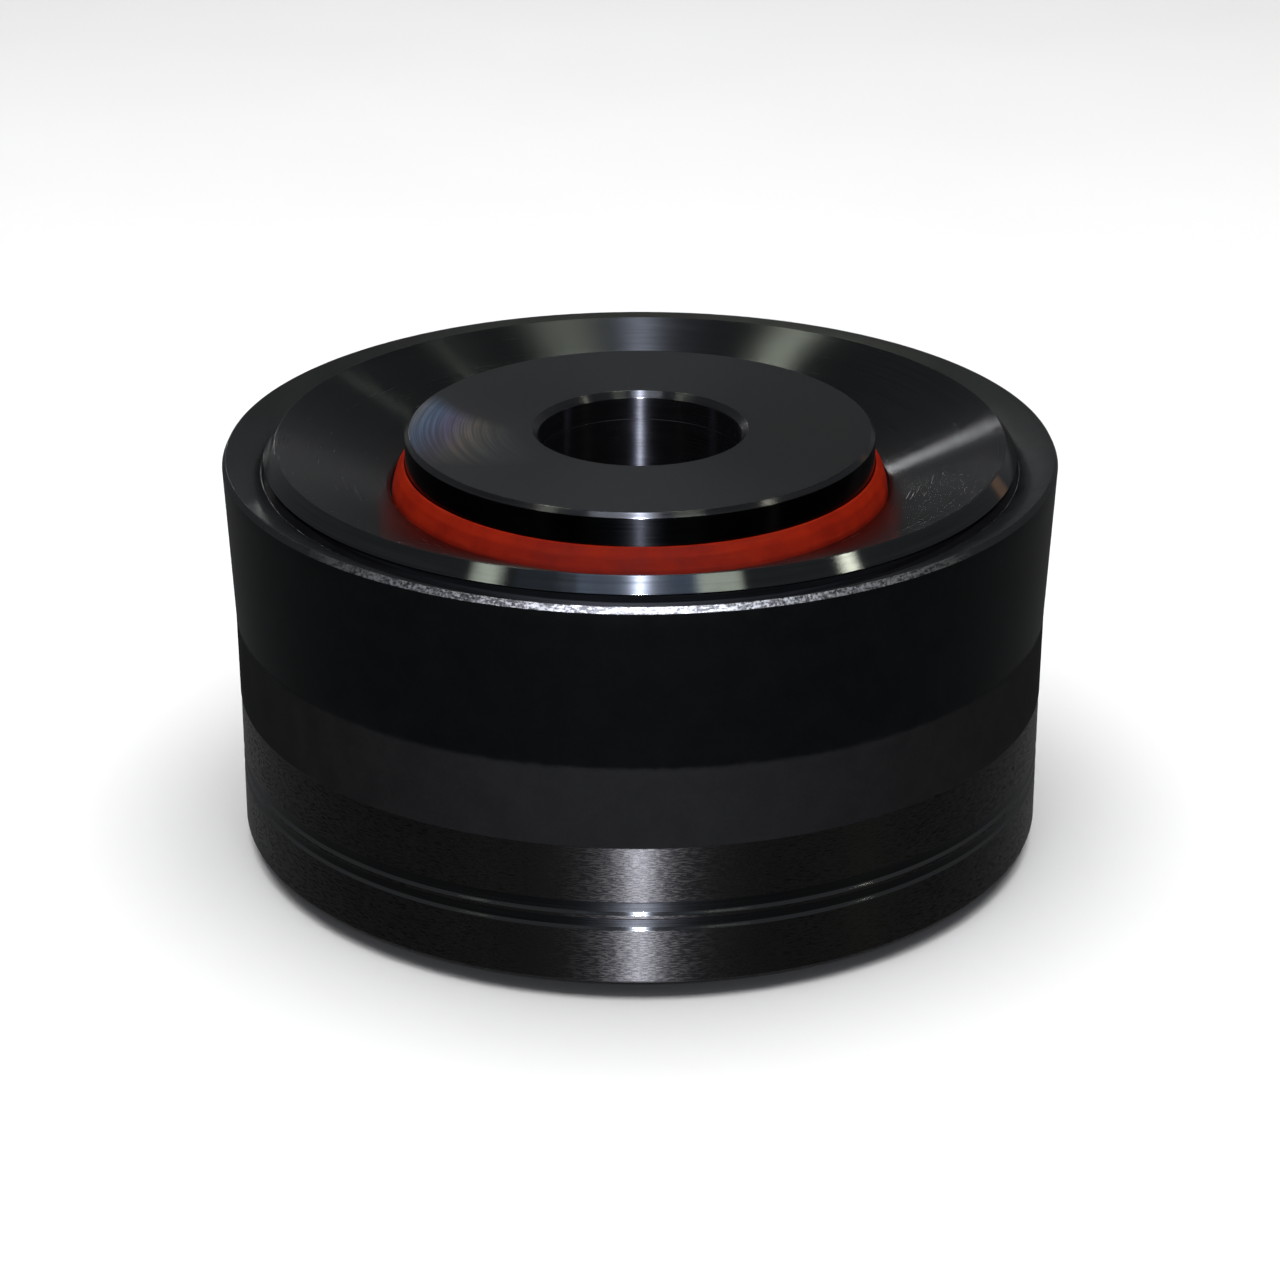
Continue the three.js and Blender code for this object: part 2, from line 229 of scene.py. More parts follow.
class Look:
    """A Principled material with short ways to add nodes to it."""

    def __init__(self, name, **values):
        self.material = bpy.data.materials.new(name)
        self.material.use_nodes = True
        self.tree = self.material.node_tree
        self.shader = self.tree.nodes["Principled BSDF"]
        for key, value in values.items():
            self.shader.inputs[key.replace("_", " ").title().replace("Ior", "IOR")].default_value = value

    def add(self, kind, inputs, **settings):
        """A new node's first output. Each input is a value or another node's output."""
        node = self.tree.nodes.new("ShaderNode" + kind)
        for key, value in settings.items():
            setattr(node, key, value)
        for key, value in inputs.items():
            if isinstance(value, bpy.types.NodeSocket):
                self.tree.links.new(value, node.inputs[key])
            else:
                node.inputs[key].default_value = value
        return node.outputs[0]

    def maths(self, operation, a, b=0.0):
        return self.add("Math", {0: a, 1: b}, operation=operation)

    def spread(self, value, low, high, to_low, to_high):
        """The value from low..high mapped to to_low..to_high, and held at the ends."""
        inputs = {"Value": value, "From Min": low, "From Max": high, "To Min": to_low, "To Max": to_high}
        return self.add("MapRange", inputs)

    def colours(self, amount, first, second):
        """The first colour where the amount is 0, the second where it is 1."""
        node = self.tree.nodes.new("ShaderNodeMix")
        node.data_type = "RGBA"
        self.tree.links.new(amount, node.inputs["Factor"])
        for key, colour in (("A", first), ("B", second)):
            socket = next(s for s in node.inputs if s.name == key and s.type == "RGBA")
            if isinstance(colour, bpy.types.NodeSocket):
                self.tree.links.new(colour, socket)
            else:
                socket.default_value = colour
        return next(s for s in node.outputs if s.type == "RGBA")

    def place(self):
        if not hasattr(self, "object_place"):
            node = self.tree.nodes.new("ShaderNodeTexCoord")
            self.object_place = node.outputs["Object"]
        return self.object_place

    def grain(self, scale, detail, roughness, vector=None):
        """Plain noise, with scale in features per metre."""
        inputs = {"Vector": vector or self.place(), "Scale": scale, "Detail": detail, "Roughness": roughness}
        return self.add("TexNoise", inputs)

    def parts(self):
        """The place's X, Y and Z."""
        node = self.tree.nodes.new("ShaderNodeSeparateXYZ")
        self.tree.links.new(self.place(), node.inputs[0])
        return node

    def radius(self):
        """Distance from the axis."""
        parts = self.parts()
        flat = self.add("CombineXYZ", {"X": parts.outputs["X"], "Y": parts.outputs["Y"]})
        length = self.tree.nodes.new("ShaderNodeVectorMath")
        length.operation = "LENGTH"
        self.tree.links.new(flat, length.inputs[0])
        return length.outputs["Value"]

    def turned(self, around, across, detail, roughness):
        """Noise drawn out round the axis, with around patches per radian and across grooves per metre."""
        parts = self.parts()
        flat = self.add("CombineXYZ", {"X": parts.outputs["X"], "Y": parts.outputs["Y"]})
        outward = self.add("VectorMath", {0: flat}, operation="NORMALIZE")
        slow = self.tree.nodes.new("ShaderNodeVectorMath")
        slow.operation = "SCALE"
        self.tree.links.new(outward, slow.inputs[0])
        slow.inputs["Scale"].default_value = around
        climb = self.maths("MULTIPLY_ADD", self.radius(), 0.6)
        self.tree.links.new(parts.outputs["Z"], climb.node.inputs[2])
        fast = self.add("CombineXYZ", {"Z": self.maths("MULTIPLY", climb, across)})
        both = self.add("VectorMath", {0: slow.outputs[0], 1: fast}, operation="ADD")
        return self.grain(1.0, detail, roughness, both)

    def mottled(self, grit):
        """Clouds with a fine skin over them, and the skin alone."""
        clouds = self.grain(60.0, 5.0, 0.6)
        skin = self.grain(grit, 3.0, 0.6)
        tone = self.maths("ADD", self.maths("MULTIPLY", clouds, 0.6), self.maths("MULTIPLY", skin, 0.4))
        return tone, skin

    def bump(self, height, distance, under=None):
        inputs = {"Height": height, "Distance": distance}
        if under:
            inputs["Normal"] = under
        return self.add("Bump", inputs)

    def use(self, **sockets):
        """Leads outputs to the shader: colour, rough, normal or metal."""
        names = {"colour": "Base Color", "rough": "Roughness", "normal": "Normal", "metal": "Metallic"}
        for key, socket in sockets.items():
            self.tree.links.new(socket, self.shader.inputs[names[key]])

    def brushed(self, amount):
        """Draws highlights out across turning marks that run round the axis."""
        self.shader.inputs["Anisotropic"].default_value = amount
        self.shader.inputs["Anisotropic Rotation"].default_value = 0.25  # a quarter turn
        tangent = self.tree.nodes.new("ShaderNodeTangent")
        tangent.direction_type = "RADIAL"
        tangent.axis = "Z"
        self.tree.links.new(tangent.outputs[0], self.shader.inputs["Tangent"])
        return self


def turned_steel(name, dark, light, rough, brushed, pitch=900.0, depth=0.02 * MM, spots=0.06):
    """Bare steel with turning marks round the axis, faint stains and a little variation in gloss."""
    look = Look(name, metallic=1.0)
    marks = look.turned(2.0, pitch, 3.0, 0.6)
    stains = look.grain(38.0, 5.0, 0.6)
    colour = look.colours(look.spread(marks, 0.3, 0.7, 0.0, 1.0), linear(dark), linear(light))
    shade = look.spread(stains, 0.35, 0.7, 0.0, 0.35)
    look.use(colour=look.colours(shade, colour, linear(dark)))
    gloss = look.spread(marks, 0.3, 0.7, 0.92 * rough, 1.08 * rough)
    look.use(rough=look.maths("ADD", gloss, look.spread(stains, 0.3, 0.75, -spots / 2, spots)))
    look.use(normal=look.bump(marks, depth))
    return look.brushed(brushed)


def scratched_steel(name, dark, light, smooth, rough):
    """Steel finished with an abrasive: smooth, with short, darker and rougher scratches round the axis."""
    look = Look(name, metallic=1.0)
    short = look.turned(55.0, 2600.0, 3.0, 0.6)
    scratched = look.spread(short, 0.5, 0.6, 0.0, 1.0)
    patches = look.grain(30.0, 4.0, 0.6)
    colour = look.colours(scratched, linear(light), linear(dark))
    look.use(colour=look.colours(look.spread(patches, 0.4, 0.7, 0.0, 0.3), colour, linear(dark)))
    look.use(rough=look.spread(scratched, 0.0, 1.0, smooth, rough))
    look.use(normal=look.bump(short, 0.012 * MM))
    return look.brushed(1.0)


def paint(name, dark, light, rough, gloss, grit, depth):
    """Dark coating over forged and turned steel: mottled, with a faint skin."""
    look = Look(name, specular_ior_level=gloss)
    tone, skin = look.mottled(grit)
    look.use(colour=look.colours(look.spread(tone, 0.4, 0.6, 0.0, 1.0), linear(dark), linear(light)))
    look.use(rough=look.spread(tone, 0.35, 0.65, rough - 0.04, rough + 0.06))
    look.use(normal=look.bump(skin, depth))
    return look


def flank_paint(name, border):
    """The cone's smooth coat over the mid band's grainy one, with a soft, uneven border at a height."""
    look = Look(name, specular_ior_level=0.08)
    tone, skin = look.mottled(650.0)
    uneven = look.maths("MULTIPLY", look.grain(220.0, 3.0, 0.6), 3 * MM)
    height = look.maths("ADD", look.parts().outputs["Z"], uneven)
    cone = look.spread(height, border - 0.3 * MM, border + 2.6 * MM, 0.0, 1.0)
    shade = look.spread(tone, 0.4, 0.6, 0.0, 1.0)
    cone_colour = look.colours(shade, linear("#050708"), linear("#080b0d"))
    band_colour = look.colours(shade, linear("#080807"), linear("#10100f"))
    look.use(colour=look.colours(cone, band_colour, cone_colour))
    look.use(rough=look.spread(cone, 0.0, 1.0, 0.7, 0.34))
    bump = look.bump(skin, 0.01 * MM)
    look.tree.links.new(look.spread(cone, 0.0, 1.0, 1.0, 0.4), bump.node.inputs["Strength"])
    look.use(normal=bump)
    return look


def raw_edge_and_highlight(name, under):
    """Torn, chipped steel where the shell's edges are raw, partly a painted highlight, and the dark coat
    elsewhere.

    The light steel shows along the front of the rim's bevel, where it is partly a painted highlight of light
    glaring on the bevel, and along the mouth's edge, there mostly on the left.
    """
    look = Look(name, specular_ior_level=0.3)
    chips = look.grain(800.0, 5.0, 0.65)
    tears = look.turned(34.0, 1100.0, 4.0, 0.65)
    bare = look.maths("ADD", look.maths("MULTIPLY", chips, 0.5), look.maths("MULTIPLY", tears, 0.5))
    parts = look.parts()
    x, y = parts.outputs["X"], parts.outputs["Y"]
    radius = look.radius()
    on_bevel = look.maths("GREATER_THAN", radius, BEVEL_START)
    # painted highlight: the bevel's light bare steel is kept to the front, where light glares on it
    bevel_front = look.spread(y, -165 * MM, -135 * MM, 1.0, 0.0)
    from_corner = look.maths("ABSOLUTE", look.maths("SUBTRACT", radius, MOUTH_EDGE.x + 0.1 * MM))
    mouth_left = look.spread(x, -150 * MM, -130 * MM, 1.0, 0.4)
    mouth_front = look.spread(y, -30 * MM, 0, 1.0, 0.0)
    sides = look.maths("MULTIPLY", mouth_left, mouth_front)
    at_mouth = look.maths("MULTIPLY", sides, look.spread(from_corner, 0.5 * MM, 1.7 * MM, 1.0, 0.0))
    where = look.add("Mix", {"Factor": on_bevel, "A": at_mouth, "B": bevel_front})
    bare_and_highlight = look.maths("MULTIPLY", look.spread(bare, 0.44, 0.54, 0.0, 1.0), where)
    # the bevel's near-white steel is partly torn steel and partly a painted highlight
    torn_steel_and_highlight = look.colours(on_bevel, linear("#b4b1ac"), linear("#646463"))
    look.use(colour=look.colours(bare_and_highlight, linear(under), torn_steel_and_highlight))
    look.use(metal=look.maths("MULTIPLY", bare_and_highlight, look.spread(on_bevel, 0.0, 1.0, 0.4, 1.0)))
    look.use(rough=look.spread(chips, 0.3, 0.7, 0.36, 0.6))
    look.use(normal=look.bump(bare, 0.12 * MM))
    return look


def rubber(name, dark, light, rough, dust, dusty):
    """Moulded rubber with faint flow lines round the axis, which hold a little dust."""
    look = Look(name, specular_ior_level=0.025)
    clouds = look.grain(60.0, 5.0, 0.6)
    skin = look.grain(1400.0, 2.0, 0.5)
    flow = look.turned(4.0, 600.0, 2.0, 0.5)
    colour = look.colours(look.spread(clouds, 0.35, 0.65, 0.0, 1.0), linear(dark), linear(light))
    look.use(colour=look.colours(look.spread(flow, 0.52, 0.75, 0.0, dusty), colour, linear(dust)))
    look.use(rough=look.spread(clouds, 0.3, 0.7, rough - 0.06, rough + 0.08))
    look.use(normal=look.bump(skin, 0.02 * MM, look.bump(flow, 0.04 * MM)))
    return look


def steel_with_painted_highlight(name, dark, light, rough):
    """The collar's satin face: even and fine, with a painted highlight on the left: a brighter fan of
    turning marks.

    The painted highlight is faintly rainbow-tinted. Its bearing is measured from -X, and is positive towards
    the back.
    """
    look = Look(name, metallic=1.0)
    parts = look.parts()
    x, y = parts.outputs["X"], parts.outputs["Y"]
    radius = look.radius()
    bearing = look.maths("ARCTAN2", y, look.maths("MULTIPLY", x, -1.0))
    leaning = look.maths("ADD", bearing, look.spread(radius, 62 * MM, 108 * MM, 0.38, 0.0))
    back_edge = look.spread(leaning, 0.28, 0.42, 1.0, 0.0)
    front_edge = look.spread(leaning, -0.5, 0.1, 0.0, 1.0)
    outward = look.spread(radius, 60 * MM, 100 * MM, 0.0, 1.0)
    highlight_fan = look.maths("MULTIPLY", look.maths("MULTIPLY", back_edge, front_edge), outward)
    arcs = look.turned(1.2, 1500.0, 2.0, 0.5)
    fine = look.grain(1500.0, 3.0, 0.6)
    # painted highlight: the fan lightens the colour to pale, faintly rainbow-tinted tones
    painted_highlight = look.maths("MULTIPLY", highlight_fan, look.spread(arcs, 0.4, 0.6, 0.45, 1.0))
    ramp = look.tree.nodes.new("ShaderNodeValToRGB")
    highlight_tints = ((0.0, "#9a938a"), (0.2, "#7f9cc4"), (0.42, "#8b82a6"), (0.62, "#b3a79b"), (1.0, "#8c8f92"))
    while len(ramp.color_ramp.elements) < len(highlight_tints):
        ramp.color_ramp.elements.new(0.5)
    for element, (place, tint) in zip(ramp.color_ramp.elements, highlight_tints):
        element.position = place
        element.color = linear(tint)
    slanted = look.maths("MULTIPLY_ADD", y, -0.22)  # the tints change from left to right, a little askew
    look.tree.links.new(x, slanted.node.inputs[2])
    look.tree.links.new(look.spread(slanted, -118 * MM, -60 * MM, 0.0, 1.0), ramp.inputs[0])
    plain = look.colours(look.spread(fine, 0.35, 0.65, 0.0, 1.0), linear(dark), linear(light))
    look.use(colour=look.colours(painted_highlight, plain, ramp.outputs[0]))
    look.use(rough=look.spread(fine, 0.3, 0.7, rough - 0.03, rough + 0.03))
    look.use(normal=look.bump(fine, 0.004 * MM, look.bump(arcs, 0.01 * MM)))
    return look.brushed(0.3)


MOUTH_EDGE = Vector((185.6 * MM, 87.7 * MM))  # corner of the shell's mouth: radius, height from the middle
BEVEL_START = 195 * MM  # the rim's bevel is farther out than this, and the mouth's edge nearer in

# The finish that the brightest turned surfaces share.
BRIGHT = {"brushed": 1.0, "pitch": 1800.0, "spots": 0.02}

rim_paint = paint("rim_paint", "#090b0c", "#0d0f10", rough=0.34, gloss=0.45, grit=500.0, depth=0.003 * MM)
shaded_paint = paint("shaded_paint", "#060707", "#0b0c0d", rough=0.5, gloss=0.2, grit=700.0, depth=0.01 * MM)
torn_edge_and_highlight = raw_edge_and_highlight("torn_edge_and_highlight", "#0b0d0e")
tread_steel = scratched_steel("tread_steel", "#2b2a28", "#434242", smooth=0.23, rough=0.46)
groove_steel = turned_steel("groove_steel", "#2a2b2c", "#38393b", rough=0.25, brushed=1.0, pitch=1600.0)
lip_steel = turned_steel("lip_steel", "#5e6062", "#6c6e70", rough=0.08, depth=0.002 * MM, **BRIGHT)
band_steel = turned_steel("band_steel", "#4a4d50", "#5b5e62", rough=0.13, depth=0.003 * MM, **BRIGHT)
face_steel = turned_steel(
    "face_steel", "#3c3e40", "#4c4e51", rough=0.25, brushed=1.0, pitch=1100.0, depth=0.003 * MM, spots=0.015
)
shadow_steel = turned_steel("shadow_steel", "#1c1d1e", "#2e2f31", rough=0.45, brushed=0.3)
disc_steel = steel_with_painted_highlight("disc_steel", "#393a3b", "#454647", rough=0.42)
side_steel = turned_steel(
    "side_steel", "#1c1d1f", "#2c2d2f", rough=0.175, brushed=1.0, pitch=1500.0, depth=0.002 * MM, spots=0.02
)
chamfer_steel = turned_steel(
    "chamfer_steel", "#4b4c4f", "#5f6064", rough=0.2, brushed=1.0, pitch=1500.0, depth=0.01 * MM
)
bore_steel = turned_steel(
    "bore_steel", "#222326", "#343439", rough=0.24, brushed=1.0, pitch=1300.0, depth=0.012 * MM
)
bore_steel.shader.inputs["Metallic"].default_value = 0.7  # lightly oiled
ground_steel = turned_steel("ground_steel", "#6a6c6f", "#86888b", rough=0.3, brushed=0.6, pitch=1600.0)
bronze = turned_steel("bronze", "#8a6232", "#b08850", rough=0.34, brushed=0.6, pitch=1100.0)
seal_iron = turned_steel("seal_iron", "#3d3e40", "#58595b", rough=0.38, brushed=0.4)
red_rubber = rubber("red_rubber", "#861806", "#9c2106", rough=0.75, dust="#a83413", dusty=0.2)
black_rubber = rubber("black_rubber", "#141415", "#1f1f20", rough=0.6, dust="#3a3a39", dusty=0.15)


# ---------------------------------------------------------------- the shell

FLANK_RADIUS = 198.5 * MM  # only the shell's outer wall is farther out
LOWEST_BAND = 10 * MM  # the tread's finish goes over its lower corner
MOUTH_EDGE_WIDTH = 1.4 * MM  # how far the raw edge goes out over the rim
MOUTH_EDGE_DEPTH = 1.5 * MM  # how far it goes down the mouth's wall
MOUTH_TEAR = 2.2 * MM  # how far from the mouth's edge the surface is torn
BEVEL_TEAR = 1.0 * MM  # how far from the rim's bevel it is torn
COARSE_CHIPS = 260  # per metre
COARSE_DEPTH = 0.16 * MM
FINE_CHIPS = 900  # per metre
FINE_DEPTH = 0.07 * MM
FINE_STEP = 0.45 * MM  # between the mesh's rings near a raw edge
WIDE_STEP = 8 * MM  # between them elsewhere
NEAR_EDGE = 3 * MM  # how far from a raw edge the fine steps go
NEAR_EDGE_DEPTH = 3.6 * MM  # how far they go down the mouth's wall
SHELL_EDGE_BREAK = 0.4 * MM
SHELL_FACETS = 600

shell_outline = read_outline("roller_shell")
flank = sorted((z, r) for r, z in shell_outline if r > FLANK_RADIUS)
tread_top, mid_top, shoulder_z = (z for z, r in flank[-4:-1])
shell_low, tread_radius = flank[0][0], flank[1][1]
bevel_high, bevel_low = (Vector((r, z)) for z, r in (flank[-1], flank[-2]))
flank_coat = flank_paint("flank_paint", mid_top)


# Each function named ..._look picks the look of a ring of faces by its radius, height and normal.


def shell_look(r, z, nr, nz):
    if r < MOUTH_EDGE.x + MOUTH_EDGE_WIDTH:
        return torn_edge_and_highlight if abs(z - middle) > MOUTH_EDGE.y - MOUTH_EDGE_DEPTH else shaded_paint
    if nr < 0.5:
        return rim_paint
    if z > shoulder_z:
        return torn_edge_and_highlight
    if z > tread_top:
        return flank_coat
    if r > tread_radius - 0.05 * MM or z < shell_low + LOWEST_BAND:
        return tread_steel
    return lip_steel if nz > 0.25 else groove_steel


def torn(r, z):
    """How badly the shell is torn there, from 0 to 1: worst at each mouth's edge and on the bevel."""
    here = Vector((r, z))
    from_mouth = (Vector((r, abs(z - middle))) - MOUTH_EDGE).length
    bevel = bevel_high - bevel_low
    along = (here - bevel_low).dot(bevel) / bevel.length_squared
    from_bevel = (here - bevel_low.lerp(bevel_high, min(max(along, 0), 1))).length
    return max(0, 1 - min(from_mouth / MOUTH_TEAR, from_bevel / BEVEL_TEAR))


def share_between(value, low, high, least):
    """1 where the value is high or more, falling straight towards low and held at least."""
    return min(max((value - low) / (high - low), least), 1)


def shell_relief(place, r, z):
    """Chips and tears: on the bevel mostly at the front, and at the mouth mostly left and right."""
    wear = torn(r, z)
    if not wear:
        return 0.0
    if r > BEVEL_START:
        share = share_between(-place.y, 130 * MM, 160 * MM, 0.15)
    else:
        share = share_between(abs(place.x), 120 * MM, 150 * MM, 0.25)
    coarse = noise.fractal(place * COARSE_CHIPS, 0.9, 2.0, 4)
    fine = noise.fractal(place * FINE_CHIPS, 0.9, 2.0, 3)
    return share * min(1, 1.6 * wear) * (COARSE_DEPTH * coarse + FINE_DEPTH * fine)


def shell_spacing(r, z):
    near_mouth = abs(r - MOUTH_EDGE.x) < NEAR_EDGE and abs(z - middle) > MOUTH_EDGE.y - NEAR_EDGE_DEPTH
    near_bevel = r > bevel_high.x - NEAR_EDGE and z > shoulder_z - NEAR_EDGE
    return FINE_STEP if near_mouth or near_bevel else WIDE_STEP


shell_profile = rounded(shell_outline, lambda r, z: SHELL_EDGE_BREAK, shell_spacing)
shell = revolve("roller_shell_body", shell_profile, SHELL_FACETS, shell_look, shell_relief)
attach(shell, "roller")
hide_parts("roller_shell")


# ---------------------------------------------------------------- the turned rings

# Radii from the axis, and heights from the middle plane, that tell one surface from the next.
RING_BAND_HEIGHT = 93 * MM  # the end ring's bright band is higher up
RING_FACE_HEIGHT = 77 * MM  # so is its dished face
SEAL_LIP_RADIUS = 125.2 * MM  # its lip round the excluder seal is nearer in
SEAL_LIP_HEIGHT = 76.2 * MM  # and higher up
COLLAR_CHAMFER_HEIGHT = 80 * MM  # the collar's chamfers are higher up
COLLAR_BORE_RADIUS = 60 * MM  # the collar's bore is nearer in
BORE_RADIUS = 51 * MM  # the hub's bore, with its chamfers left out
PRESS_JOINT_HEIGHT = 90 * MM  # where collar and sleeve meet in the bore
PRESS_JOINT_BREAK = 0.04 * MM  # the sharper edge there

# Holes, grooves, pins and the plug.
PIN_HOLE_GAP = 0.3 * MM  # between a pin and its hole
PIN_HOLE_SPARE = 1 * MM  # how much longer the hole is at each end
PIN_FACETS = 48
BUSHING_BORE_RADIUS = 80.8 * MM
OIL_GROOVES = 3
OIL_GROOVE_RADIUS = 2.5 * MM
OIL_GROOVE_LENGTH = 37 * MM
OIL_GROOVE_OVERCUT = 5 * MM  # how far its cutter starts outside the bushing
OIL_GROOVE_FACETS = 32
PORT_START = 45 * MM  # from the axis, inside the bore
OIL_PORT_RADIUS = 3 * MM
OIL_PORT_END = 97 * MM
PLUG_SEAT_RADIUS = 7 * MM
PLUG_SEAT_END = 61.8 * MM
PLUG_FACETS = 64
PLUG_SOCKET_RADIUS = 3.6 * MM
PLUG_SOCKET_DEPTH = 5 * MM
HEXAGON = 6
BAR_EDGE_BREAK = 0.6 * MM


def end_ring_look(r, z, nr, nz):
    height = abs(z - middle)
    outward = nz if z > middle else -nz
    if height > RING_BAND_HEIGHT and nr > 0.4:
        return band_steel
    at_seal_lip = r < SEAL_LIP_RADIUS and height > SEAL_LIP_HEIGHT
    on_face = outward > 0.7 and height > RING_FACE_HEIGHT
    return face_steel if at_seal_lip or on_face else shadow_steel


def collar_look(r, z, nr, nz):
    if abs(nz) >= 0.95:
        return disc_steel
    if abs(nz) > 0.2 and abs(z - middle) > COLLAR_CHAMFER_HEIGHT:
        return chamfer_steel
    return bore_steel if r < COLLAR_BORE_RADIUS else side_steel


def sleeve_look(r, z, nr, nz):
    return bore_steel if nr < -0.5 else ground_steel


def only(look):
    return lambda *ring: look


def box_of(node):
    """A CAD node's lowest and highest corners."""
    return (Vector(corner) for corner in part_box(node))


def pin_place(end, number):
    """A dowel pin's radius, centre and half length."""
    low, high = box_of(f"{end}_dowel_pin_{number}")
    return (high.x - low.x) / 2, (low + high) / 2, (high.z - low.z) / 2


def pin_holes(end):
    """Cutters for the dowel pins of one end, a little wider and longer than the pins."""
    cutters = []
    for number in (1, 2):
        radius, centre, half_length = pin_place(end, number)
        reach = Vector((0, 0, half_length + PIN_HOLE_SPARE))
        cutters.append(rod(radius + PIN_HOLE_GAP, centre - reach, centre + reach, PIN_FACETS))
    return cutters


def turned_piece(node, body, slot, look_at, segments, edge_break):
    """A piece that stands in for a turned CAD node, with its outline and broken edges."""

    def at_corner(r, z):
        at_joint = r < BORE_RADIUS and abs(abs(z - middle) - PRESS_JOINT_HEIGHT) < 1 * MM
        return PRESS_JOINT_BREAK if at_joint else edge_break

    profile = rounded(read_outline(node), at_corner)
    piece = revolve(node + "_body", profile, segments, look_at)
    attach(piece, body)
    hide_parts(node)
    return piece


def oil_grooves(end):
    """Cutters for the oil grooves of one bushing, which run in from its inner face."""
    face = min((corner.z for corner in box_of(end + "_bushing")), key=lambda z: abs(z - middle))
    outward = Vector((0, 0, 1 if face > middle else -1))
    cutters = []
    for number in range(OIL_GROOVES):
        angle = math.tau * number / OIL_GROOVES
        x, y = BUSHING_BORE_RADIUS * math.cos(angle), BUSHING_BORE_RADIUS * math.sin(angle)
        start = Vector((x, y, face))
        stretch = start - outward * OIL_GROOVE_OVERCUT, start + outward * OIL_GROOVE_LENGTH
        cutters.append(rod(OIL_GROOVE_RADIUS, *stretch, OIL_GROOVE_FACETS))
    return cutters


# What each piece rides on, its slot, its look, its facets, and how far its edges are broken.
TURNED_PIECES = {
    "end_ring": ("roller", "turned_ring", end_ring_look, 480, 0.35 * MM),
    "collar": ("hub", "satin_collar", collar_look, 480, 0.25 * MM),
    "excluder_seal": ("hub", "red_rubber", only(red_rubber), 360, 1.2 * MM),
    "thrust_washer": ("hub", "bronze", only(bronze), 240, 0.5 * MM),
    "running_seal_ring": ("roller", "seal_iron", only(seal_iron), 240, 0.5 * MM),
    "running_toric_ring": ("roller", "black_rubber", only(black_rubber), 240, 2.1 * MM),
    "fixed_seal_ring": ("hub", "seal_iron", only(seal_iron), 240, 0.5 * MM),
    "fixed_toric_ring": ("hub", "black_rubber", only(black_rubber), 240, 2.1 * MM),
    "end_ring_o_ring": ("roller", "black_rubber", only(black_rubber), 240, 1.2 * MM),
    "collar_o_ring": ("hub", "black_rubber", only(black_rubber), 240, 0.8 * MM),
    "bushing": ("roller", "bronze", only(bronze), 360, 0.8 * MM),
}
HOLES = {"collar": pin_holes, "bushing": oil_grooves}

for end in ("upper", "lower"):
    for kind, details in TURNED_PIECES.items():
        piece = turned_piece(f"{end}_{kind}", *details)
        if kind in HOLES:
            drill(piece, HOLES[kind](end))

sleeve = turned_piece("inner_sleeve", "hub", "plain_steel", sleeve_look, 480, 0.6 * MM)
oil_port = [
    rod(OIL_PORT_RADIUS, (PORT_START, 0, middle), (OIL_PORT_END, 0, middle), PIN_FACETS),
    rod(PLUG_SEAT_RADIUS, (PORT_START, 0, middle), (PLUG_SEAT_END, 0, middle), PLUG_FACETS),
]
drill(sleeve, oil_port + pin_holes("upper") + pin_holes("lower"))


def bar_piece(node, radius, start, end, facets):
    """A ground bar with rounded ends that stands in for a CAD pin or plug on the hub."""
    piece = rod(radius, start, end, facets)
    piece.name = piece.data.name = node + "_body"
    shape = bmesh.new()
    shape.from_mesh(piece.data)
    rims = [edge for edge in shape.edges if edge.calc_face_angle() > math.radians(60)]  # round each end
    bmesh.ops.bevel(shape, geom=rims, offset=BAR_EDGE_BREAK, segments=4, profile=0.5, affect="EDGES")
    for face in shape.faces:
        face.smooth = len(face.verts) == 4
    shape.to_mesh(piece.data)
    shape.free()
    piece.data.materials.append(ground_steel.material)
    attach(piece, "hub")
    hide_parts(node)
    return piece


for end in ("upper", "lower"):
    for number in (1, 2):
        radius, centre, half_length = pin_place(end, number)
        reach = Vector((0, 0, half_length))
        bar_piece(f"{end}_dowel_pin_{number}", radius, centre - reach, centre + reach, PIN_FACETS)

plug_low, plug_high = box_of("oil_plug")
plug_ends = (plug_low.x, 0, middle), (plug_high.x, 0, middle)
plug = bar_piece("oil_plug", (plug_high.z - plug_low.z) / 2, *plug_ends, PLUG_FACETS)
socket_ends = (plug_low.x - 1 * MM, 0, middle), (plug_low.x + PLUG_SOCKET_DEPTH, 0, middle)
drill(plug, [rod(PLUG_SOCKET_RADIUS, *socket_ends, HEXAGON)])


# ---------------------------------------------------------------- stage, lamps and camera

FOCUS = Vector((0, 0, cad_low.z + 95 * MM))  # the camera and all lamps point here
CAMERA_ELEVATION = 23.66  # degrees
CAMERA_DISTANCE = 1.884
FLOOR_REACH = 9  # from the middle to each side
FLOOR_GAP = 0.2 * MM  # keeps the floor out of the plane of the roller's lowest face


def direction(azimuth, elevation):
    """A unit vector towards a lamp or camera: azimuth 0 is in front (-Y) and 90 is on the right (+X)."""
    a, e = math.radians(azimuth), math.radians(elevation)
    return Vector((math.sin(a) * math.cos(e), -math.cos(a) * math.cos(e), math.sin(e)))


def facing(thing, target):
    thing.rotation_euler = (target - thing.location).to_track_quat("-Z", "Y").to_euler()


def lamp(name, azimuth, elevation, distance, width, height, power, colour="#ffffff", fill=False):
    """A rectangular lamp turned to the roller, with angles in degrees, lengths in metres and power in watts.

    It shows only in reflections or, as a fill lamp, lights everything and shows in none.
    """
    data = bpy.data.lights.new(name, "AREA")
    data.shape = "RECTANGLE"
    data.size, data.size_y = width, height
    data.energy = power
    data.color = linear(colour)[:3]
    light = bpy.data.objects.new(name, data)
    light.location = FOCUS + direction(azimuth, elevation) * distance
    facing(light, FOCUS)
    light.visible_diffuse = fill
    light.visible_glossy = not fill
    bpy.context.scene.collection.objects.link(light)


